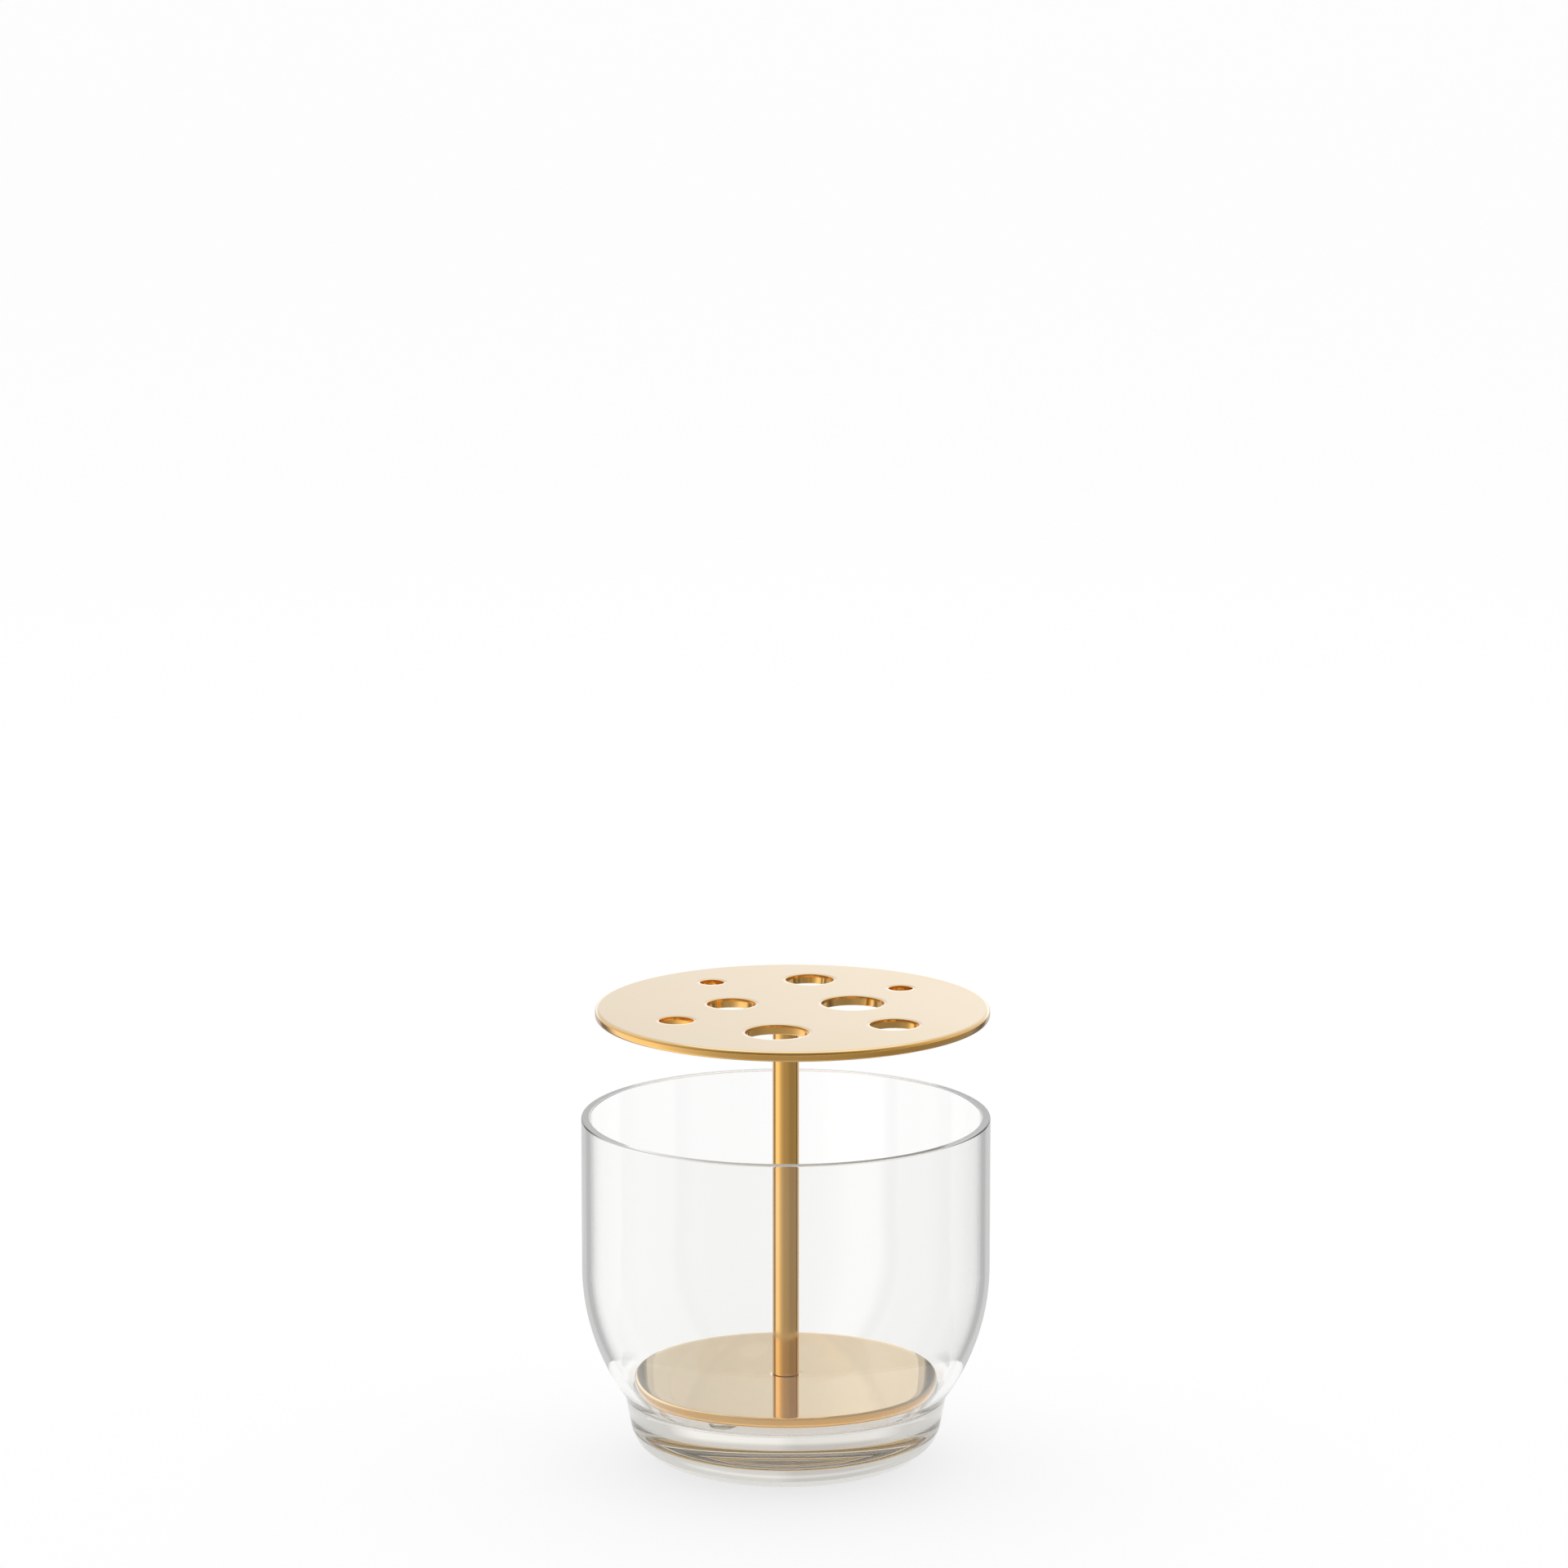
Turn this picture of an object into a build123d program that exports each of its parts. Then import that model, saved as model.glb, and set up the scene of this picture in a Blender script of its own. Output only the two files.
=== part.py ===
from build123d import *
import os

# A flower frog standing in its glass vase. The frog is two round brass plates on one brass column: the
# upper plate guides the stems above the vase's rim, and the lower plate lies on the floor of the bowl,
# on four clear bumpers. Millimetres, +Z up. The origin is on the vase's axis, at the table.

# Glass vase: a thick solid foot, a bowl that swells from it, and a straight wall
vase_height = 111.0
vase_radius = 65.0
wall = 2.8
shoulder_height = 62.0  # where the bowl's curve becomes the straight wall
waist_height = 20.5  # where the foot meets the bowl
waist_radius = 51.5
foot_radius = 47.6  # where the foot's side, carried on down, would meet the table
foot_rounding = 13.4
waist_rounding = 5.0
floor_height = 20.0
floor_radius = 47.6
floor_rounding = 2.5
rim_rounding = 0.6
hollow_radius = 30.0  # shallow hollow under the foot, so that it stands on a ring
hollow_depth = 1.2
hollow_rounding = 0.8

# Brass plates and column
plate_thickness = 3.2
plate_edge_rounding = 1.1
bumper_height = 3.0
lower_plate_base = floor_height + bumper_height
lower_plate_top = lower_plate_base + plate_thickness
lower_plate_radius = 49.0
column_radius = 4.25
column_length = 117.0
upper_plate_base = lower_plate_top + column_length
upper_plate_radius = 62.6
upper_plate_offset = 2.1  # the upper plate sits a little off the column, towards +X
hole_edge_rounding = 0.35

# Stem holes: distance from the upper plate's centre, direction from +X, and diameter
large_hole = 20.0
medium_hole = 15.5
small_hole = 11.0
tiny_hole = 7.7
stem_holes = [
    (20.0, 17.0, large_hole),
    (35.0, -98.0, large_hole),
    (20.0, 166.0, medium_hole),
    (40.0, 82.0, medium_hole),
    (40.0, -37.0, medium_hole),
    (41.0, -153.0, small_hole),
    (44.0, 38.0, tiny_hole),
    (44.0, 126.0, tiny_hole),
]

# Bumpers: a round foot, widest where it is stuck to the plate
bumper_radius = 5.0
bumper_taper = 9.0
bumper_rounding = 0.9
bumper_distance = 41.0
bumper_directions = range(-118, 242, 90)

# Threaded pieces, drawn as plain cylinders of their outer diameter
thread_radius = 2.5
thread_depth = 12.0
thread_engagement = 10.0
running_gap = 0.05
screw_head_radius = 5.0
screw_recess = 0.1  # how far the screw's head lies inside the plate's lower face
socket_width = 3.0
socket_depth = 1.6

os.makedirs("parts", exist_ok=True)


def save(piece, name):
    piece.label = name
    export_step(piece, f"parts/{name}.step")


# Vase: half its section, turned about the axis
with BuildPart() as glass_vase:
    with BuildSketch(Plane.XZ) as vase_section:
        with BuildLine():
            TangentArc((0, hollow_depth), (hollow_radius, 0), tangent=(1, 0))
            Polyline((hollow_radius, 0), (foot_radius, 0), (waist_radius, waist_height))
            TangentArc((vase_radius, shoulder_height), (waist_radius, waist_height), tangent=(0, -1))
            Polyline(
                (vase_radius, shoulder_height),
                (vase_radius, vase_height),
                (vase_radius - wall, vase_height),
                (vase_radius - wall, shoulder_height),
            )
            TangentArc((vase_radius - wall, shoulder_height), (floor_radius, floor_height), tangent=(0, -1))
            Polyline((floor_radius, floor_height), (0, floor_height), (0, hollow_depth))
        make_face()
        roundings = [
            (hollow_radius, 0, hollow_rounding),
            (foot_radius, 0, foot_rounding),
            (waist_radius, waist_height, waist_rounding),
            (vase_radius, vase_height, rim_rounding),
            (vase_radius - wall, vase_height, rim_rounding),
            (floor_radius, floor_height, floor_rounding),
        ]
        for x, height, rounding in roundings:
            fillet(vertices().sort_by_distance((x, height))[0], radius=rounding)
    revolve(axis=Axis.Z)
save(glass_vase.part, "glass_vase")

# Lower plate, countersunk from below for the column's screw
plate_underside = Plane(origin=(0, 0, lower_plate_base), x_dir=(1, 0, 0), z_dir=(0, 0, -1))
with BuildPart() as lower_plate:
    with BuildSketch(Plane.XY.offset(lower_plate_base)):
        Circle(lower_plate_radius)
    extrude(amount=plate_thickness)
    fillet(edges().filter_by(GeomType.CIRCLE), radius=plate_edge_rounding)
    with Locations(plate_underside):
        CounterSinkHole(
            radius=thread_radius + running_gap,
            counter_sink_radius=screw_head_radius + screw_recess + 2 * running_gap,
            counter_sink_angle=90,
        )
save(lower_plate.part, "lower_plate")

# Four bumpers under the lower plate
for number, direction in enumerate(bumper_directions, start=1):
    spot = Vector(bumper_distance, 0).rotate(Axis.Z, direction)
    bumper_top = Plane(origin=(spot.X, spot.Y, lower_plate_base))
    with BuildPart() as bumper:
        with BuildSketch(bumper_top):
            Circle(bumper_radius)
        extrude(amount=-bumper_height, taper=bumper_taper)
        fillet(edges().group_by(Axis.Z)[0], radius=bumper_rounding)
    save(bumper.part, f"bumper_{number}")

# Column: a round bar, tapped at both ends
with BuildPart() as column:
    with BuildSketch(Plane.XY.offset(lower_plate_top)):
        Circle(column_radius)
    extrude(amount=column_length)
    column_foot = Plane(origin=(0, 0, lower_plate_top), x_dir=(1, 0, 0), z_dir=(0, 0, -1))
    column_head = Plane.XY.offset(upper_plate_base)
    with Locations(column_foot, column_head):
        Hole(radius=thread_radius, depth=thread_depth)
save(column.part, "column")

# Countersunk screw, from under the lower plate up into the column
screw_bottom = lower_plate_base + screw_recess
screw_neck = screw_bottom + screw_head_radius - thread_radius
with BuildPart() as base_screw:
    with BuildSketch(Plane.XZ):
        Polygon(
            (0, screw_bottom),
            (screw_head_radius, screw_bottom),
            (thread_radius, screw_neck),
            (thread_radius, lower_plate_top + thread_engagement),
            (0, lower_plate_top + thread_engagement),
            align=None,
        )
    revolve(axis=Axis.Z)
    with BuildSketch(Plane.XY.offset(screw_bottom)):
        RegularPolygon(radius=socket_width / 2, side_count=6, major_radius=False)
    extrude(amount=socket_depth, mode=Mode.SUBTRACT)
save(base_screw.part, "base_screw")

# Stud, brazed under the upper plate and screwed down into the column
with BuildPart() as top_stud:
    with BuildSketch(Plane.XY.offset(upper_plate_base)):
        Circle(thread_radius)
    extrude(amount=-thread_engagement)
    chamfer(edges().group_by(Axis.Z)[0], length=0.5)
save(top_stud.part, "top_stud")

# Upper plate, pierced with the stem holes
with BuildPart() as upper_plate:
    with BuildSketch(Plane.XY.offset(upper_plate_base)):
        with Locations((upper_plate_offset, 0)):
            Circle(upper_plate_radius)
        for distance, direction, diameter in stem_holes:
            hole = Vector(distance, 0).rotate(Axis.Z, direction)
            with Locations((upper_plate_offset + hole.X, hole.Y)):
                Circle(diameter / 2, mode=Mode.SUBTRACT)
    extrude(amount=plate_thickness)
    rims = edges().filter_by(GeomType.CIRCLE)
    outer_rims = rims.filter_by(lambda rim: rim.radius > large_hole)
    hole_rims = rims.filter_by(lambda rim: rim.radius <= large_hole)
    fillet(outer_rims, radius=plate_edge_rounding)
    fillet(hole_rims, radius=hole_edge_rounding)
save(upper_plate.part, "upper_plate")
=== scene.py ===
"""A brass flower frog standing in its glass vase, on a small stage.

The stage is a pale floor in a soft room, one overhead light, two rings of cards that show only in
mirrored light, and a camera.
"""

import math

import bmesh
import bpy
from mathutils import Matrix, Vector


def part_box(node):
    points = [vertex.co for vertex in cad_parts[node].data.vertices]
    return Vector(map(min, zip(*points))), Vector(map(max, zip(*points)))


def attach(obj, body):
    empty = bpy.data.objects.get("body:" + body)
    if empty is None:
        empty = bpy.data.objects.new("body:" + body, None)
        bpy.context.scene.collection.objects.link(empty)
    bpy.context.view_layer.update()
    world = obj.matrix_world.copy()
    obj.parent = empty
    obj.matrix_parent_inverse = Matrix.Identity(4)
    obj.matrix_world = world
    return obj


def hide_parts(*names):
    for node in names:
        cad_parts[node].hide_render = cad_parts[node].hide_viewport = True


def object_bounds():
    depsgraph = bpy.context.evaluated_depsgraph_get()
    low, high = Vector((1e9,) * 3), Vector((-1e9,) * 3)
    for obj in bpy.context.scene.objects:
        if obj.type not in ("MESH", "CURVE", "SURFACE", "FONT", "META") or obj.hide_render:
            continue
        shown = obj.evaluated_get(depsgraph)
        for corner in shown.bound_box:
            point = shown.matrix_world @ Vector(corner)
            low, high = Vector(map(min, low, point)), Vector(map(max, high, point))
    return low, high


bl_info = {
    "name": "Flower frog",
    "version": (1, 0, 0),
    "blender": (4, 5, 0),
    "location": "3D View > Sidebar > Flower frog",
    "description": "Builds a brass flower frog, its glass vase and a small photo stage",
    "category": "Add Mesh",
}

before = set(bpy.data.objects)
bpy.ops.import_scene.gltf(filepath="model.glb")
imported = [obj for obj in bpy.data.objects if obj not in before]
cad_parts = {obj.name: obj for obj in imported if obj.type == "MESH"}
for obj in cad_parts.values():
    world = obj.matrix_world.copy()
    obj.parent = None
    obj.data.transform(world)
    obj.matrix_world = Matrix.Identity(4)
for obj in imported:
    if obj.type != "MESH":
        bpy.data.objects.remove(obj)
CAD_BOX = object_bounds()

MM = 0.001
SEGMENTS = 256  # round the vase and the plates
MEDIUM_SEGMENTS = 96  # round the column, the screw, the stud and the larger stem holes
SMALL_SEGMENTS = 64  # round the bumpers and the smaller stem holes
SMALL_HOLE = 6.0 * MM  # radius up to which a stem hole counts as small
CARD_SEGMENTS = 192  # round a ring of cards
INNER_LOW = 27.0 * MM  # where the inner ring of cards starts, just above the lower plate

HIDE_GAP = 0.02 * MM  # keeps two touching faces from lying in one plane
WELD = 0.001 * MM  # points closer than this are one point
ON_CIRCLE = 0.01 * MM  # how near a circle an edge's ends must be to lie on it
LONG_RUN = 1.2 * MM  # a straight run longer than this gets points close to its ends
HOLD_STEP = 0.15 * MM  # how close those points are
PLATE_RING = 0.3 * MM  # flat ring left between a plate's rounding and its flat face
SCREW_EASE = 0.4 * MM  # bevel at the tips of the screw and the stud

BOWL_STEPS = 40  # steps along each of the bowl's two long curves
FOOT_STEPS = 24
WAIST_STEPS = 10
ROUND_STEPS = 8  # steps along any other rounding
HOLE_STEPS = 5

VASE_LOW, VASE_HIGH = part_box("glass_vase")
LOWER_LOW, LOWER_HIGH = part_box("lower_plate")
UPPER_LOW, UPPER_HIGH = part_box("upper_plate")
COLUMN_LOW, COLUMN_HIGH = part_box("column")
SCREW_LOW, SCREW_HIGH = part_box("base_screw")
STUD_LOW, STUD_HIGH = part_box("top_stud")

# Stem holes: distance from the upper plate's centre, direction from +X, and diameter (mm and degrees)
STEM_HOLES = (
    (20.0, 17.0, 20.0),
    (35.0, -98.0, 20.0),
    (20.0, 166.0, 15.5),
    (40.0, 82.0, 15.5),
    (40.0, -37.0, 15.5),
    (41.0, -153.0, 11.0),
    (44.0, 38.0, 7.7),
    (44.0, 126.0, 7.7),
)

# Tones of the cards round the frog: direction from the front in degrees, to the right, and tone
CARD_TONES = (
    (-180.0, 0.34),
    (-117.0, 0.31),
    (-111.0, 0.10),
    (-103.0, 0.13),
    (-91.0, 0.62),
    (-64.0, 0.62),
    (-48.0, 0.44),
    (-30.0, 0.29),
    (-10.0, 0.23),
    (12.0, 0.22),
    (40.0, 0.17),
    (70.0, 0.17),
    (92.0, 0.19),
    (103.0, 0.08),
    (111.0, 0.08),
    (117.0, 0.31),
    (180.0, 0.34),
)


def length(name, description, default):
    """A size in metres, shown in the scene's units."""
    return bpy.props.FloatProperty(
        name=name, description=description, default=default, min=0.0, unit="LENGTH", precision=5
    )


def colour(name, description, default):
    """A colour swatch."""
    return bpy.props.FloatVectorProperty(
        name=name, description=description, default=default, size=3, min=0.0, max=1.0, subtype="COLOR"
    )


def factor(name, description, default, top=1.0):
    """A plain number from nought up."""
    return bpy.props.FloatProperty(name=name, description=description, default=default, min=0.0, max=top)


class VaseSettings(bpy.types.PropertyGroup):
    """Sizes and tint of the glass vase"""

    radius: length("Radius", "Outside radius of the straight wall", 65.0 * MM)
    height: length("Height", "Height of the rim above the table", VASE_HIGH.z)
    wall: length("Wall", "Thickness of the straight wall", 2.8 * MM)
    shoulder_height: length("Shoulder height", "Where the bowl becomes the straight wall", 62.0 * MM)
    waist_radius: length("Waist radius", "Outside radius where the foot meets the bowl", 51.5 * MM)
    waist_height: length("Waist height", "Height where the foot meets the bowl", 20.5 * MM)
    foot_radius: length("Foot radius", "Radius of the foot's side, carried down to the table", 47.6 * MM)
    foot_rounding: length("Foot rounding", "Rounding of the foot's lower edge", 13.4 * MM)
    waist_rounding: length("Waist rounding", "Rounding of the waist", 5.0 * MM)
    floor_height: length("Floor height", "Height of the bowl's floor", 20.0 * MM)
    floor_radius: length("Floor radius", "Radius of the bowl's floor", 47.6 * MM)
    floor_rounding: length("Floor rounding", "Rounding round the bowl's floor", 2.5 * MM)
    rim_rounding: length("Rim rounding", "Rounding of the flat rim's two edges", 0.6 * MM)
    hollow_radius: length("Hollow radius", "Radius of the hollow under the foot", 30.0 * MM)
    hollow_depth: length("Hollow depth", "Depth of the hollow under the foot", 1.2 * MM)
    tint: colour("Tint", "What long ways through the glass turn white into", (0.83, 0.815, 0.785))
    absorption: factor("Absorption", "How quickly the tint builds up, per metre", 20.0, 200.0)


class FrogSettings(bpy.types.PropertyGroup):
    """Sizes and colours of the brass frog"""

    edge_rounding: length("Edge rounding", "Rounding of the plates' outer edges", 1.1 * MM)
    hole_rounding: length("Hole rounding", "Rounding of the stem holes' edges", 0.35 * MM)
    column_rounding: length("Column rounding", "Rounding of the column's two ends", 0.12 * MM)
    thread_radius: length("Thread radius", "Outer radius of the screw and stud", 2.5 * MM)
    thread_depth: length("Thread depth", "Depth of the column's two tapped holes", 12.0 * MM)
    running_gap: length("Running gap", "Gap round the screw in the lower plate", 0.05 * MM)
    sink_radius: length("Sink radius", "Radius of the lower plate's countersink", 5.2 * MM)
    socket_width: length("Socket width", "Width across flats of the screw's socket", 3.0 * MM)
    socket_depth: length("Socket depth", "Depth of the screw's socket", 1.6 * MM)
    bumper_radius: length("Bumper radius", "Radius of a bumper at the plate", 5.0 * MM)
    bumper_rounding: length("Bumper rounding", "Rounding of a bumper's lower edge", 0.9 * MM)
    brass: colour("Brass", "Colour of the clean polished brass", (0.88, 0.66, 0.34))
    # Deep brass also colours the plates' cut edges, where it is painted shade
    deep_brass: colour("Deep brass", "Colour of the brass where it is toned", (0.84, 0.44, 0.075))
    silicone: colour("Silicone", "Colour of the clear bumpers", (0.95, 0.96, 0.95))
    steel: colour("Steel", "Colour of the screw", (0.62, 0.61, 0.59))


class StageSettings(bpy.types.PropertyGroup):
    """Floor, room, cards, light and camera"""

    floor: colour("Floor", "Colour of the floor", (0.40, 0.40, 0.40))
    glow: factor("Glow", "How brightly the floor glows by itself", 0.70, 10.0)
    sky_behind: factor("Sky behind", "Brightness of the room behind the frog", 1.08, 10.0)
    sky_before: factor("Sky before", "Brightness of the room in front of the frog", 0.28, 10.0)
    overhead: factor("Overhead", "Power of the overhead soft light, in watts", 3.0, 1000.0)
    inner_reach: length("Inner reach", "Radius of the cards between the column and the vase", 0.0505)
    outer_reach: length("Outer reach", "Radius of the cards round the vase", 0.10)
    card_height: length("Card height", "Height of the reflecting cards", 0.142)
    focal_length: factor("Focal length", "Focal length of the camera, in millimetres", 163.3, 1000.0)


# ---- modelling helpers -------------------------------------------------------------------------


def deselect():
    """Leave edit mode and select nothing."""
    if bpy.context.object and bpy.context.object.mode != "OBJECT":
        bpy.ops.object.mode_set(mode="OBJECT")
    bpy.ops.object.select_all(action="DESELECT")


def arc(centre, radius, start, end, steps):
    """Points along a circle's arc in the section plane, angles in degrees."""
    angles = (math.radians(start + (end - start) * i / steps) for i in range(steps + 1))
    return [(centre[0] + radius * math.cos(a), centre[1] + radius * math.sin(a)) for a in angles]


def direction(start, end):
    """The angle, in degrees, of the way from one point of the section to another."""
    return math.degrees(math.atan2(end[1] - start[1], end[0] - start[0]))


def middle(low, high):
    """The middle of a box, seen from above."""
    return (low.x + high.x) / 2, (low.y + high.y) / 2


def half_width(low, high):
    """Half a box's width: the radius of a round piece."""
    return (high.x - low.x) / 2


def start_piece(name, first):
    """A new object that is one selected vertex, in edit mode."""
    deselect()
    bpy.ops.mesh.primitive_plane_add(size=MM, location=first)
    piece = bpy.context.object
    piece.name = name
    piece.data.name = name
    bpy.ops.object.mode_set(mode="EDIT")
    bpy.ops.mesh.select_mode(type="VERT")
    bpy.ops.mesh.select_all(action="SELECT")
    bpy.ops.mesh.merge(type="CENTER")
    return piece


def hold(section):
    """Add points close to the ends of each long straight run, so that its faces shade as straight."""
    held = []
    for start, end in zip(section, section[1:]):
        run = Vector(end) - Vector(start)
        held.append(start)
        if run.length > LONG_RUN:
            step = run.normalized() * HOLD_STEP
            ends = (Vector(start) + step, Vector(end) - step)
            held += [tuple(point) for point in ends if point.x > MM]
    return held + [section[-1]]


def turn(name, section, centre=(0.0, 0.0), steps=SEGMENTS):
    """Turn a half section of (radius, height) points about an upright axis into a closed solid."""
    places = [Vector((centre[0] + x, centre[1], z)) for x, z in hold(section)]
    piece = start_piece(name, places[0])
    for before, after in zip(places, places[1:]):
        bpy.ops.mesh.extrude_vertices_move(TRANSFORM_OT_translate={"value": after - before})
    bpy.ops.mesh.select_all(action="SELECT")
    bpy.ops.mesh.spin(steps=steps, angle=math.tau, center=(*centre, 0.0), axis=(0.0, 0.0, 1.0))
    bpy.ops.mesh.select_all(action="SELECT")
    bpy.ops.mesh.remove_doubles(threshold=WELD)
    bpy.ops.mesh.normals_make_consistent(inside=False)
    return finish_piece(piece)


def pick(piece):
    """Select just one object and make it the active one."""
    deselect()
    piece.select_set(True)
    bpy.context.view_layer.objects.active = piece


def finish_piece(piece):
    """Smooth the faces and put the object's own origin at the frame's."""
    pick(piece)
    bpy.ops.object.transform_apply(location=True, rotation=True, scale=True)
    bpy.ops.object.shade_smooth()
    piece.select_set(False)
    return piece


def smooth_below(piece, degrees):
    """Shade a piece smooth, but for the edges that bend by more than an angle."""
    pick(piece)
    bpy.ops.object.shade_smooth_by_angle(angle=math.radians(degrees))


def pick_faces(piece, wanted):
    """Select just the faces whose normal and middle pass a test."""
    bpy.ops.mesh.select_mode(type="FACE")
    bpy.ops.mesh.select_all(action="DESELECT")
    mesh = bmesh.from_edit_mesh(piece.data)
    for face in mesh.faces:
        face.select_set(wanted(face.normal, face.calc_center_median()))
    bmesh.update_edit_mesh(piece.data)


def pick_edges(piece, wanted):
    """Select just the edges whose two ends pass a test."""
    bpy.ops.mesh.select_mode(type="EDGE")
    bpy.ops.mesh.select_all(action="DESELECT")
    mesh = bmesh.from_edit_mesh(piece.data)
    for edge in mesh.edges:
        edge.select_set(wanted(edge))
    mesh.select_flush_mode()
    bmesh.update_edit_mesh(piece.data)


def on_circle(edge, centre, radius, heights):
    """Whether an edge lies along a level circle at one of the heights."""
    start, end = (vertex.co for vertex in edge.verts)
    level = any(abs(start.z - h) < ON_CIRCLE and abs(end.z - h) < ON_CIRCLE for h in heights)
    away = [math.hypot(p.x - centre[0], p.y - centre[1]) for p in (start, end)]
    return level and all(abs(d - radius) < ON_CIRCLE for d in away)


def cut_plate(name, centre, radius, holes, base, thickness, support):
    """A round plate with round holes, its rims held by narrow rings, left in edit mode."""
    deselect()
    bpy.ops.mesh.primitive_circle_add(vertices=SEGMENTS, radius=radius, location=(*centre, base))
    piece = bpy.context.object
    piece.name = name
    piece.data.name = name
    bpy.ops.object.transform_apply(location=True, rotation=True, scale=True)
    bpy.ops.object.mode_set(mode="EDIT")
    for spot, hole_radius in holes:
        around = MEDIUM_SEGMENTS if hole_radius > SMALL_HOLE else SMALL_SEGMENTS
        bpy.ops.mesh.primitive_circle_add(vertices=around, radius=hole_radius, location=(*spot, base))
    bpy.ops.mesh.select_all(action="SELECT")
    bpy.ops.mesh.fill(use_beauty=True)
    bpy.ops.mesh.extrude_region_move(TRANSFORM_OT_translate={"value": (0.0, 0.0, thickness)})
    bpy.ops.mesh.select_all(action="SELECT")
    bpy.ops.mesh.normals_make_consistent(inside=False)
    for side in (1.0, -1.0):
        pick_faces(piece, lambda normal, middle: normal.z * side > 0.9)
        bpy.ops.mesh.inset(thickness=support, use_boundary=True, use_even_offset=True)
    return piece


def round_rim(piece, centre, radius, heights, rounding, segments):
    """Round the plate's edges that lie on one circle."""
    pick_edges(piece, lambda edge: on_circle(edge, centre, radius, heights))
    bpy.ops.mesh.bevel(offset=rounding, offset_type="OFFSET", segments=segments, profile=0.5)


def settle(piece, body, node, material):
    """Give a finished piece its finish and its body, and hide the frame's node that it stands for."""
    piece.data.materials.clear()
    piece.data.materials.append(material)
    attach(piece, body)
    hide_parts(node)


# ---- finishes ----------------------------------------------------------------------------------


class Value:
    """A number or colour that comes out of a node, used in plain arithmetic"""

    def __init__(self, finish, socket):
        self.finish = finish
        self.socket = socket

    def maths(self, operation, first, second):
        """One Math node."""
        return self.finish.node("ShaderNodeMath", {"operation": operation}, {0: first, 1: second})

    def __add__(self, other):
        return self.maths("ADD", self, other)

    def __sub__(self, other):
        return self.maths("SUBTRACT", self, other)

    def __rsub__(self, other):
        return self.maths("SUBTRACT", other, self)

    def __mul__(self, other):
        return self.maths("MULTIPLY", self, other)

    __radd__ = __add__
    __rmul__ = __mul__


class Nodes:
    """A node tree that is built from values"""

    def __init__(self, tree):
        self.tree = tree
        self.tree.nodes.clear()

    def put(self, socket, value):
        """Set a socket's number, or link a value to it."""
        if isinstance(value, Value):
            self.tree.links.new(value.socket, socket)
        else:
            socket.default_value = value

    def node(self, kind, settings=None, inputs=None, output=0):
        """Any node: its settings first, then its inputs, by name or number."""
        made = self.tree.nodes.new(kind)
        for key, value in (settings or {}).items():
            setattr(made, key, value)
        for key, value in (inputs or {}).items():
            self.put(made.inputs[key], value)
        return None if output is None else Value(self, made.outputs[output])

    def axis(self, vector, name):
        """One number of a vector: its X, Y or Z."""
        return self.node("ShaderNodeSeparateXYZ", {}, {0: vector}, name)

    def spread(self, value, low, high, start=0.0, end=1.0):
        """Stretch low to high over start to end, and hold it there."""
        ends = {0: value, 1: low, 2: high, 3: start, 4: end}
        return self.node("ShaderNodeMapRange", {"clamp": True}, ends)

    def mix(self, share, first, second):
        """Mix two colours."""
        inputs = {0: share}
        for place, tone in ((6, first), (7, second)):
            opaque = isinstance(tone, tuple) and len(tone) == 3
            inputs[place] = (*tone, 1.0) if opaque else tone
        return self.node("ShaderNodeMix", {"data_type": "RGBA"}, inputs, 2)

    def ramp(self, value, stops):
        """A grey tone from (place, tone) stops."""
        made = self.node("ShaderNodeValToRGB", {}, {"Fac": value}, "Color")
        elements = made.socket.node.color_ramp.elements
        made.socket.node.color_ramp.interpolation = "LINEAR"
        while len(elements) < len(stops):
            elements.new(0.5)
        for element, (place, tone) in zip(elements, stops):
            element.position = place
            element.color = (tone, tone, tone, 1.0)
        return made


class Finish(Nodes):
    """A material on one Principled shader"""

    def __init__(self, name, **sockets):
        self.material = bpy.data.materials.new(name)
        self.material.use_nodes = True
        super().__init__(self.material.node_tree)
        self.shader = self.tree.nodes.new("ShaderNodeBsdfPrincipled")
        self.output = self.tree.nodes.new("ShaderNodeOutputMaterial")
        self.tree.links.new(self.shader.outputs["BSDF"], self.output.inputs["Surface"])
        for socket, value in sockets.items():
            self.feed(socket.replace("_", " "), value)

    def feed(self, socket, value):
        """Set or link one of the shader's own sockets."""
        self.put(self.shader.inputs[socket], value)

    def place(self, scale=(1.0, 1.0, 1.0), turned=(0.0, 0.0, 0.0), centre=(0.0, 0.0, 0.0)):
        """Object coordinates, scaled, turned and centred."""
        where = self.node("ShaderNodeTexCoord", output="Object")
        moved = self.node("ShaderNodeVectorMath", {"operation": "SUBTRACT"}, {0: where, 1: centre})
        inputs = {"Vector": moved, "Rotation": turned, "Scale": scale}
        return self.node("ShaderNodeMapping", {"vector_type": "POINT"}, inputs)

    def noise(self, where, scale, detail=3.0, roughness=0.5):
        """Soft noise, from nought to one."""
        inputs = {"Vector": where, "Scale": scale, "Detail": detail, "Roughness": roughness}
        return self.node("ShaderNodeTexNoise", {"noise_dimensions": "3D"}, inputs, "Fac")

    def bump(self, height, distance, strength):
        """Feed the shader's normal from a height, in metres at its full value."""
        inputs = {"Strength": strength, "Distance": distance, "Height": height}
        self.feed("Normal", self.node("ShaderNodeBump", {}, inputs))


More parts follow.
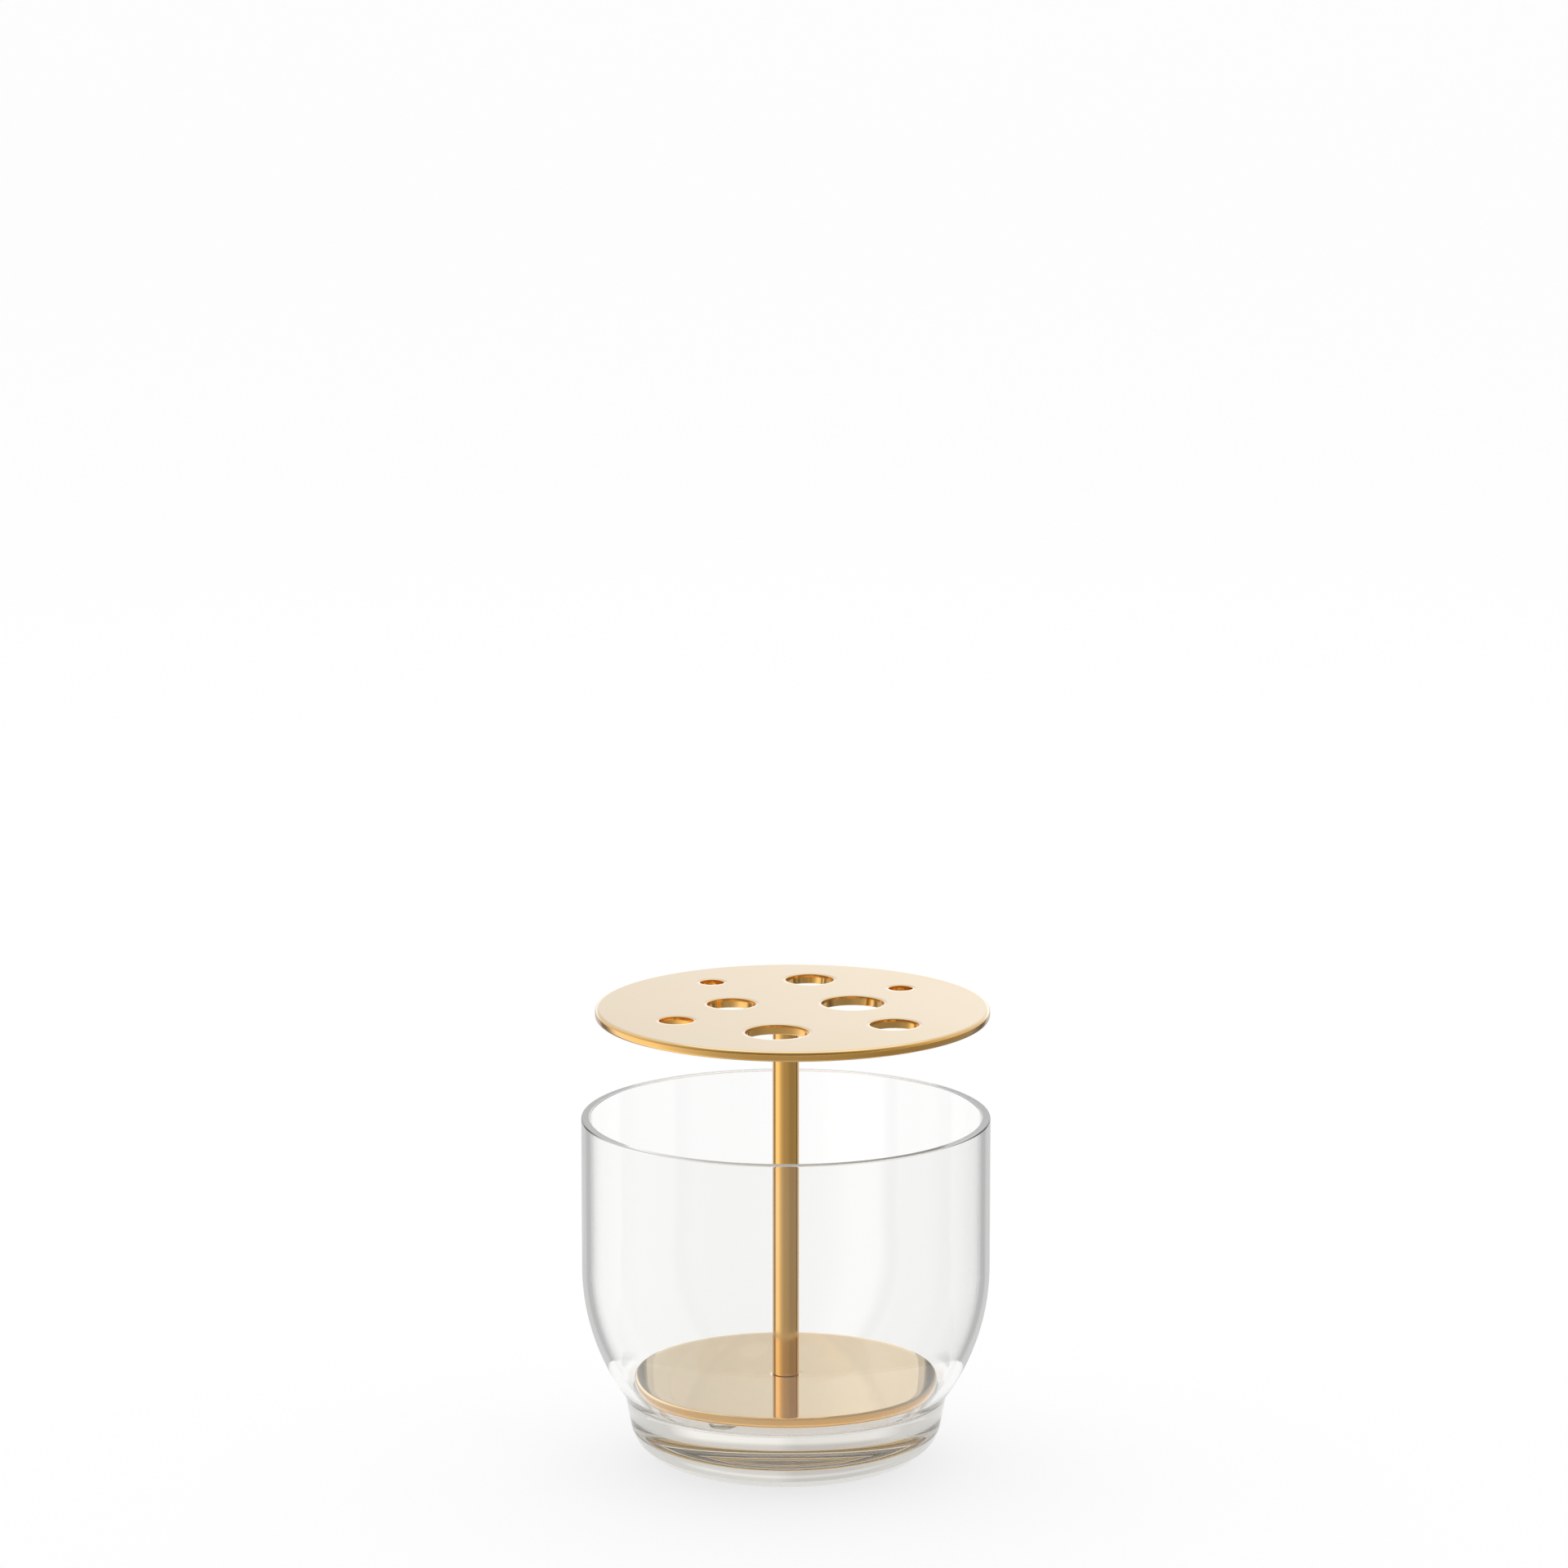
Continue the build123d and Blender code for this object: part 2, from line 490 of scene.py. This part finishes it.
def clear_glass(settings):
    """Clear blown glass: faint waves, a ground rim made partly metal as a painted reflection that
    brightens it, and a warm grey over long ways through it.
    """
    glass = Finish("clear_glass", IOR=1.5, Base_Color=(0.985, 0.986, 0.982, 1.0))
    glass.feed("Transmission Weight", 1.0)
    waves = glass.noise(glass.place(scale=(1.0, 1.0, 0.45)), 26.0, 1.0)
    film = glass.noise(glass.place(), 90.0, 4.0, 0.6)
    level = glass.axis(glass.place(), "Z")
    rim = glass.spread(level, settings.height - 0.5 * MM, settings.height - 0.15 * MM)
    glass.feed("Roughness", glass.spread(film, 0.45, 0.75, 0.0, 0.02) + rim * 0.22)
    # Painted reflection: the ground rim is made partly metal, so that it mirrors the bright room as a
    # light line
    glass.feed("Metallic", rim * 0.65)
    glass.bump(waves, 0.12 * MM, 0.35)
    volume = glass.tree.nodes.new("ShaderNodeVolumeAbsorption")
    volume.inputs["Color"].default_value = (*settings.tint, 1.0)
    volume.inputs["Density"].default_value = settings.absorption
    glass.tree.links.new(volume.outputs["Volume"], glass.output.inputs["Volume"])
    return glass.material


def polished_brass(name, settings, centre, base, thickness):
    """Polished sheet brass: a mirror with faint ripples, hair scratches and a rough, layered cut edge,
    made warmer with painted shade.
    """
    brass = Finish(name, Metallic=1.0, Coat_Weight=1.0, Coat_Roughness=0.03)
    flat = brass.place(centre=centre)
    half = thickness / 2
    above_middle = brass.axis(flat, "Z") - (base + half)
    from_middle = brass.node("ShaderNodeMath", {"operation": "ABSOLUTE"}, {0: above_middle})
    # The plate's side walls and hole walls: their rough layers are the cut's own, their deeper colour is
    # painted shade
    cut_edge_and_shade = brass.spread(from_middle, half - 0.5 * MM, half - 0.1 * MM, 1.0, 0.0)
    clouds = brass.noise(flat, 22.0, 3.0)
    smears = brass.noise(brass.place(scale=(1.0, 0.25, 1.0), turned=(0.0, 0.0, 0.5)), 120.0, 4.0, 0.6)
    hairs = brass.noise(brass.place(scale=(60.0, 1.0, 1.0), turned=(0.0, 0.0, 1.1)), 60.0, 2.0)
    ripples = brass.noise(flat, 35.0, 1.0)
    layers = brass.noise(brass.place(scale=(0.3, 0.3, 6.0)), 900.0, 2.0)
    # Deep brass from the clouds is the brass's own toning; on the cut edge it is painted shade
    toned = brass.spread(clouds, 0.35, 0.75, 0.0, 0.2) + cut_edge_and_shade * 0.8
    brass.feed("Base Color", brass.mix(toned, tuple(settings.brass), tuple(settings.deep_brass)))
    polish = brass.spread(smears, 0.4, 0.8, 0.03, 0.08) + brass.spread(hairs, 0.66, 0.84, 0.0, 0.04)
    brass.feed("Roughness", polish + cut_edge_and_shade * layers * 0.22)
    brass.bump(ripples * 0.6 + hairs * 0.006 + cut_edge_and_shade * layers * 0.12, 0.05 * MM, 0.5)
    return brass.material


def drawn_brass(name, settings):
    """Drawn brass bar: fine lines along its length."""
    brass = Finish(name, Metallic=1.0, Coat_Weight=1.0, Coat_Roughness=0.08)
    lines = brass.noise(brass.place(scale=(1.0, 1.0, 0.012)), 2600.0, 2.0)
    clouds = brass.noise(brass.place(scale=(1.0, 1.0, 0.3)), 60.0, 3.0)
    toned = brass.spread(clouds, 0.35, 0.75, 0.75, 1.0)
    brass.feed("Base Color", brass.mix(toned, tuple(settings.brass), tuple(settings.deep_brass)))
    brass.feed("Roughness", brass.spread(lines, 0.3, 0.8, 0.07, 0.17))
    brass.bump(lines, 0.01 * MM, 0.4)
    return brass.material


def clear_silicone(settings):
    """Clear soft silicone with a dull, slightly dusty skin."""
    silicone = Finish("clear_silicone", IOR=1.41)
    silicone.feed("Transmission Weight", 0.85)
    dust = silicone.noise(silicone.place(), 420.0, 4.0, 0.6)
    skin = tuple(settings.silicone)
    silicone.feed("Base Color", silicone.mix(silicone.spread(dust, 0.4, 0.7), skin, (0.84, 0.85, 0.84)))
    silicone.feed("Roughness", silicone.spread(dust, 0.3, 0.8, 0.12, 0.32))
    silicone.bump(dust, 0.03 * MM, 0.4)
    return silicone.material


def turned_steel(settings):
    """Stainless steel with turned rings."""
    steel = Finish("turned_steel", Metallic=1.0)
    rings = steel.noise(steel.place(scale=(0.2, 0.2, 8.0)), 700.0, 2.0)
    grime = steel.noise(steel.place(), 500.0, 3.0)
    shade = steel.spread(grime, 0.4, 0.8, 0.0, 0.6)
    steel.feed("Base Color", steel.mix(shade, tuple(settings.steel), (0.40, 0.39, 0.37)))
    steel.feed("Roughness", steel.spread(rings, 0.3, 0.8, 0.22, 0.4))
    steel.bump(rings, 0.02 * MM, 0.4)
    return steel.material


def pale_paper(settings):
    """A pale matt sheet that glows a little, for the floor."""
    paper = Finish("pale_paper", Specular_IOR_Level=0.2)
    fibres = paper.noise(paper.place(), 300.0, 3.0)
    white = tuple(settings.floor)
    paper.feed("Base Color", paper.mix(fibres, white, tuple(c * 0.985 for c in white)))
    paper.feed("Roughness", paper.spread(fibres, 0.0, 1.0, 0.85, 0.95))
    paper.feed("Emission Color", (1.0, 1.0, 1.0, 1.0))
    paper.feed("Emission Strength", settings.glow)
    return paper.material


# ---- pieces ------------------------------------------------------------------------------------


def vase_section(vase):
    """Half the vase's section: under the foot, up the outside, over the rim and down the inside."""
    rise, swell = vase.shoulder_height - vase.waist_height, vase.radius - vase.waist_radius
    bowl = (rise * rise + swell * swell) / (2 * swell)
    bowl_centre = (vase.radius - bowl, vase.shoulder_height)
    inside = vase.radius - vase.wall
    drop, shrink = vase.shoulder_height - vase.floor_height, inside - vase.floor_radius
    inner_bowl = (drop * drop + shrink * shrink) / (2 * shrink)
    inner_centre = (inside - inner_bowl, vase.shoulder_height)

    hollow = (vase.hollow_radius**2 + vase.hollow_depth**2) / (2 * vase.hollow_depth)
    hollow_centre = (0.0, vase.hollow_depth - hollow)
    hollow_end = direction(hollow_centre, (vase.hollow_radius, 0.0))
    points = arc(hollow_centre, hollow, 90.0, hollow_end, ROUND_STEPS)

    lean = math.atan2(vase.waist_radius - vase.foot_radius, vase.waist_height)
    foot_centre = (
        vase.foot_radius - vase.foot_rounding * (1 - math.sin(lean)) / math.cos(lean),
        vase.foot_rounding,
    )
    points.append((foot_centre[0] - 0.5 * MM, 0.0))
    points += arc(foot_centre, vase.foot_rounding, -90.0, -math.degrees(lean), FOOT_STEPS)

    # the waist's rounding touches the foot's side and the bowl from outside
    outward = Vector((math.cos(lean), -math.sin(lean)))
    along = Vector((math.sin(lean), math.cos(lean)))
    from_bowl = Vector((vase.foot_radius, 0.0)) + outward * vase.waist_rounding - Vector(bowl_centre)
    reach = bowl + vase.waist_rounding
    half = from_bowl.dot(along)
    way = -half - math.sqrt(half * half - from_bowl.length_squared + reach * reach)
    waist_centre = Vector(bowl_centre) + from_bowl + along * way
    touch = direction(waist_centre, bowl_centre)
    leave = 180.0 - math.degrees(lean)
    points += arc(waist_centre, vase.waist_rounding, leave, touch, WAIST_STEPS)
    points += arc(bowl_centre, bowl, touch - 180.0, 0.0, BOWL_STEPS)[1:]

    rim = vase.rim_rounding
    points += arc((vase.radius - rim, vase.height - rim), rim, 0.0, 90.0, ROUND_STEPS)
    points += arc((inside + rim, vase.height - rim), rim, 90.0, 180.0, ROUND_STEPS)

    corner_height = vase.floor_height + vase.floor_rounding
    corner_reach = inner_bowl - vase.floor_rounding
    corner_drop = vase.shoulder_height - corner_height
    corner_centre = (inner_centre[0] + math.sqrt(corner_reach**2 - corner_drop**2), corner_height)
    bend = direction(inner_centre, corner_centre)
    points += arc(inner_centre, inner_bowl, 0.0, bend, BOWL_STEPS)
    points += arc(corner_centre, vase.floor_rounding, bend, -90.0, ROUND_STEPS)[1:]
    points += [(corner_centre[0] - 0.6 * MM, vase.floor_height), (0.0, vase.floor_height)]
    return points


class FROG_OT_glass_vase(bpy.types.Operator):
    """Turn the glass vase from its section"""

    bl_idname = "frog.glass_vase"
    bl_label = "Glass vase"

    def execute(self, context):
        vase = context.scene.frog_vase
        piece = turn("vase_glass", vase_section(vase))
        settle(piece, "vase", "glass_vase", clear_glass(vase))
        piece.visible_shadow = False
        piece.visible_diffuse = False
        return {"FINISHED"}


class FROG_OT_upper_plate(bpy.types.Operator):
    """Cut the pierced upper plate and round its edges"""

    bl_idname = "frog.upper_plate"
    bl_label = "Upper plate"

    def execute(self, context):
        frog = context.scene.frog_frog
        centre = middle(UPPER_LOW, UPPER_HIGH)
        radius = half_width(UPPER_LOW, UPPER_HIGH)
        holes = []
        for distance, angle, diameter in STEM_HOLES:
            turned = math.radians(angle)
            across, back = distance * MM * math.cos(turned), distance * MM * math.sin(turned)
            holes.append(((centre[0] + across, centre[1] + back), diameter * MM / 2))
        base, top = UPPER_LOW.z, UPPER_HIGH.z
        support = frog.edge_rounding + PLATE_RING
        piece = cut_plate("plate_upper", centre, radius, holes, base, top - base, support)
        round_rim(piece, centre, radius, (base, top), frog.edge_rounding, ROUND_STEPS)
        for spot, hole_radius in holes:
            round_rim(piece, spot, hole_radius, (base, top), frog.hole_rounding, HOLE_STEPS)
        finish_piece(piece)
        material = polished_brass("polished_brass_upper", frog, (*centre, 0.0), base, top - base)
        settle(piece, "frog_top", "upper_plate", material)
        return {"FINISHED"}


class FROG_OT_lower_plate(bpy.types.Operator):
    """Cut the lower plate, round its edges and sink its screw hole"""

    bl_idname = "frog.lower_plate"
    bl_label = "Lower plate"

    def execute(self, context):
        frog = context.scene.frog_frog
        centre = (0.0, 0.0)
        radius = half_width(LOWER_LOW, LOWER_HIGH)
        hole = frog.thread_radius + frog.running_gap
        base, top = LOWER_LOW.z, LOWER_HIGH.z
        sink = frog.sink_radius - hole
        support = sink + PLATE_RING
        piece = cut_plate("plate_lower", centre, radius, [(centre, hole)], base, top - base, support)
        round_rim(piece, centre, radius, (base, top), frog.edge_rounding, ROUND_STEPS)
        round_rim(piece, centre, hole, (base,), sink, 1)
        finish_piece(piece)
        material = polished_brass("polished_brass_lower", frog, (*centre, 0.0), base, top - base)
        settle(piece, "frog_foot", "lower_plate", material)
        return {"FINISHED"}


class FROG_OT_column(bpy.types.Operator):
    """Turn the column, with a blind hole in each end"""

    bl_idname = "frog.column"
    bl_label = "Column"

    def execute(self, context):
        frog = context.scene.frog_frog
        radius = half_width(COLUMN_LOW, COLUMN_HIGH)
        base, top, ease = COLUMN_LOW.z, COLUMN_HIGH.z, frog.column_rounding
        bore, depth = frog.thread_radius, frog.thread_depth
        section = [(0.0, base + depth), (bore, base + depth), (bore, base)]
        section += arc((radius - ease, base + ease), ease, -90.0, 0.0, 4)
        section += arc((radius - ease, top - ease), ease, 0.0, 90.0, 4)
        section += [(bore, top), (bore, top - depth), (0.0, top - depth)]
        piece = turn("column_bar", section, steps=MEDIUM_SEGMENTS)
        smooth_below(piece, 40.0)
        settle(piece, "frog_top", "column", drawn_brass("drawn_brass", frog))
        return {"FINISHED"}


class FROG_OT_bumpers(bpy.types.Operator):
    """Turn a clear bumper at each of its four places, all with one finish"""

    bl_idname = "frog.bumpers"
    bl_label = "Bumpers"

    def execute(self, context):
        frog = context.scene.frog_frog
        material = clear_silicone(frog)
        ease = frog.bumper_rounding
        lower_radius = frog.bumper_radius * 0.9
        for number in range(1, 5):
            low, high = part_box(f"bumper_{number}")
            base, top = low.z + HIDE_GAP, high.z - HIDE_GAP
            section = [(0.0, base), (lower_radius - ease - 0.2 * MM, base)]
            section += arc((lower_radius - ease, base + ease), ease, -90.0, -9.0, ROUND_STEPS)
            section += [(frog.bumper_radius - 0.15 * MM, top - 0.15 * MM)]
            section += [(frog.bumper_radius - 0.3 * MM, top), (0.0, top)]
            piece = turn(f"bumper_clear_{number}", section, middle(low, high), SMALL_SEGMENTS)
            settle(piece, "frog_foot", f"bumper_{number}", material)
        return {"FINISHED"}


class FROG_OT_fasteners(bpy.types.Operator):
    """Turn the countersunk screw and the stud that hold the column"""

    bl_idname = "frog.fasteners"
    bl_label = "Screw and stud"

    def execute(self, context):
        frog = context.scene.frog_frog
        head, shank = half_width(SCREW_LOW, SCREW_HIGH), frog.thread_radius - HIDE_GAP
        base, tip, ease = SCREW_LOW.z, SCREW_HIGH.z, SCREW_EASE
        section = [(0.0, base), (head - 0.15 * MM, base), (head, base + 0.1 * MM)]
        section += [(shank, base + head - shank), (shank, tip - ease), (shank - ease, tip), (0.0, tip)]
        screw = turn("screw_countersunk", section, steps=MEDIUM_SEGMENTS)
        deselect()
        corner = frog.socket_width / math.sqrt(3)
        bpy.ops.mesh.primitive_cylinder_add(
            vertices=6, radius=corner, depth=2 * frog.socket_depth, location=(0.0, 0.0, base)
        )
        key = bpy.context.object
        cut = screw.modifiers.new("socket", "BOOLEAN")
        cut.operation = "DIFFERENCE"
        cut.object = key
        pick(screw)
        bpy.ops.object.modifier_apply(modifier=cut.name)
        smooth_below(screw, 35.0)
        bpy.data.objects.remove(key)
        settle(screw, "frog_top", "base_screw", turned_steel(frog))

        base, top = STUD_LOW.z, STUD_HIGH.z - HIDE_GAP
        section = [(0.0, base), (shank - ease, base), (shank, base + ease), (shank, top), (0.0, top)]
        stud = turn("stud_brazed", section, steps=MEDIUM_SEGMENTS)
        smooth_below(stud, 35.0)
        settle(stud, "frog_top", "top_stud", drawn_brass("stud_brass", frog))
        return {"FINISHED"}


class FROG_OT_stage(bpy.types.Operator):
    """Lay the floor and set the room, the cards, the light and the camera"""

    bl_idname = "frog.stage"
    bl_label = "Stage"

    def execute(self, context):
        stage = context.scene.frog_stage
        self.lay_floor(stage)
        self.light_sky(context.scene, stage)
        self.stand_cards("inner_cards", stage.inner_reach, INNER_LOW, stage.card_height, 0.4, False)
        self.stand_cards("outer_cards", stage.outer_reach, 0.0, stage.card_height, 0.86, True)
        self.add_light("overhead_light", (0.1, 0.5, 1.7), (0.0, 0.1, 0.0), (1.6, 1.2), stage.overhead)
        self.set_camera(context.scene, stage)
        self.set_light_paths(context.scene)
        return {"FINISHED"}

    def lay_floor(self, stage):
        """A wide round floor at the height that the foot stands on."""
        deselect()
        below_foot = (0.0, 0.0, CAD_BOX[0].z - HIDE_GAP)
        bpy.ops.mesh.primitive_circle_add(
            vertices=MEDIUM_SEGMENTS, radius=30.0, fill_type="NGON", location=below_foot
        )
        floor = bpy.context.object
        floor.name = "floor"
        bpy.ops.object.transform_apply(location=True, rotation=True, scale=True)
        floor.data.materials.append(pale_paper(stage))

    def light_sky(self, scene, stage):
        """Soft light from all round, brighter behind the frog than in front of it."""
        world = bpy.data.worlds.new("soft_room")
        scene.world = world
        world.use_nodes = True
        sky = Nodes(world.node_tree)
        way = sky.node("ShaderNodeTexCoord", output="Generated")
        across, depth, height = (sky.axis(way, name) for name in "XYZ")
        within = sky.node("ShaderNodeLightPath", output="Transmission Depth")
        dim = sky.spread(within, 0.0, 1.0, stage.sky_before, 0.6)
        lit = sky.spread(depth, -0.85, 0.3, dim, stage.sky_behind)
        straight_behind = sky.spread(depth, 0.8, 0.9)
        lit += straight_behind * sky.spread(height, 0.15, 0.25, 0.45, 0.0)
        lit += straight_behind * sky.spread(across, -0.04, 0.04, -0.12, 0.08)
        seen = sky.node("ShaderNodeLightPath", output="Is Camera Ray")
        room = sky.node("ShaderNodeBackground", {}, {"Strength": lit})
        plain = sky.node("ShaderNodeBackground", {}, {"Color": (0.95, 0.95, 0.95, 1.0)})
        both = sky.node("ShaderNodeMixShader", {}, {0: seen, 1: room, 2: plain})
        sky.node("ShaderNodeOutputWorld", {}, {"Surface": both}, None)

    def stand_cards(self, name, reach, low, high, end, outside):
        """A ring of grey cards, open at the back past end * reach, seen only in mirrored light."""
        deselect()
        bpy.ops.mesh.primitive_circle_add(vertices=CARD_SEGMENTS, radius=reach, location=(0.0, 0.0, low))
        cards = bpy.context.object
        cards.name = name
        bpy.ops.object.transform_apply(location=True, rotation=True, scale=True)
        bpy.ops.object.mode_set(mode="EDIT")
        bpy.ops.mesh.select_mode(type="VERT")
        bpy.ops.mesh.select_all(action="SELECT")
        bpy.ops.mesh.extrude_region_move(TRANSFORM_OT_translate={"value": (0.0, 0.0, high - low)})
        pick_faces(cards, lambda normal, middle: middle.y > end * reach)
        bpy.ops.mesh.delete(type="FACE")
        bpy.ops.object.mode_set(mode="OBJECT")
        cards.data.materials.append(self.card_tones(name, outside))
        cards.visible_camera = False
        cards.visible_diffuse = False
        cards.visible_shadow = False

    def card_tones(self, name, outside):
        """Grey tones by the way from the middle; the outer ring has one tone through the glass."""
        material = bpy.data.materials.new(name)
        material.use_nodes = True
        tones = Nodes(material.node_tree)
        where = tones.node("ShaderNodeTexCoord", output="Object")
        across, ahead = tones.axis(where, "X"), 0.0 - tones.axis(where, "Y")
        round_way = tones.node("ShaderNodeMath", {"operation": "ARCTAN2"}, {0: across, 1: ahead})
        share = tones.spread(round_way, -math.pi, math.pi)
        tone = tones.ramp(share, [(angle / 360.0 + 0.5, grey) for angle, grey in CARD_TONES])
        if outside:
            within = tones.node("ShaderNodeLightPath", output="Transmission Depth")
            tone = tones.mix(tones.spread(within, 0.0, 1.0), tone, (0.31, 0.31, 0.31))
        glow = tones.node("ShaderNodeEmission", {}, {"Color": tone, "Strength": 2.0})
        mirrored = tones.node("ShaderNodeLightPath", output="Glossy Depth")
        clear = tones.node("ShaderNodeBsdfTransparent")
        both = tones.node("ShaderNodeMixShader", {}, {0: mirrored, 1: clear, 2: glow})
        tones.node("ShaderNodeOutputMaterial", {}, {"Surface": both}, None)
        return material

    def add_light(self, name, place, aim, size, power):
        """A soft rectangular light, turned to face a point."""
        deselect()
        facing = (Vector(aim) - Vector(place)).to_track_quat("-Z", "Y").to_euler()
        bpy.ops.object.light_add(type="AREA", location=place, rotation=facing)
        light = bpy.context.object
        light.name = name
        light.data.name = name
        light.data.shape = "RECTANGLE"
        light.data.size, light.data.size_y = size
        light.data.energy = power

    def set_camera(self, scene, stage):
        """A long lens, a little above the frog's plate."""
        deselect()
        bpy.ops.object.camera_add(
            location=(-0.583 * MM, -2196.58 * MM, 652.83 * MM),
            rotation=(math.radians(90.0 - 11.188), 0.0, 0.0),
        )
        camera = bpy.context.object
        camera.name = "camera"
        camera.data.sensor_fit = "AUTO"
        camera.data.sensor_width = 36.0
        camera.data.lens = stage.focal_length
        camera.data.clip_start = 0.05
        camera.data.clip_end = 100.0
        scene.camera = camera
        scene.view_settings.view_transform = "Standard"

    def set_light_paths(self, scene):
        """Follow light far along the glass wall, and keep mirrored bands sharp when seen through it."""
        cycles = scene.cycles
        cycles.caustics_refractive = cycles.caustics_reflective = False
        cycles.blur_glossy = 0.0
        cycles.max_bounces = cycles.glossy_bounces = cycles.transmission_bounces = 64


PIECES = (
    FROG_OT_glass_vase,
    FROG_OT_lower_plate,
    FROG_OT_bumpers,
    FROG_OT_column,
    FROG_OT_fasteners,
    FROG_OT_upper_plate,
    FROG_OT_stage,
)
SETTINGS = {"frog_vase": VaseSettings, "frog_frog": FrogSettings, "frog_stage": StageSettings}


class FROG_PT_panel(bpy.types.Panel):
    """The frog's operators and settings"""

    bl_idname = "FROG_PT_panel"
    bl_label = "Flower frog"
    bl_space_type = "VIEW_3D"
    bl_region_type = "UI"
    bl_category = "Flower frog"

    def draw(self, context):
        for piece in PIECES:
            self.layout.operator(piece.bl_idname)
        for key, group in SETTINGS.items():
            box = self.layout.box()
            for name in group.__annotations__:
                box.prop(getattr(context.scene, key), name)


def register():
    for group in SETTINGS.values():
        bpy.utils.register_class(group)
    for key, group in SETTINGS.items():
        setattr(bpy.types.Scene, key, bpy.props.PointerProperty(type=group))
    for piece in (*PIECES, FROG_PT_panel):
        bpy.utils.register_class(piece)


def unregister():
    for piece in (*PIECES, FROG_PT_panel):
        bpy.utils.unregister_class(piece)
    for key, group in SETTINGS.items():
        delattr(bpy.types.Scene, key)
        bpy.utils.unregister_class(group)


def main():
    """Build every piece and the stage."""
    register()
    for piece in PIECES:
        group, name = piece.bl_idname.split(".")
        getattr(getattr(bpy.ops, group), name)()


if __name__ == "__main__":
    main()
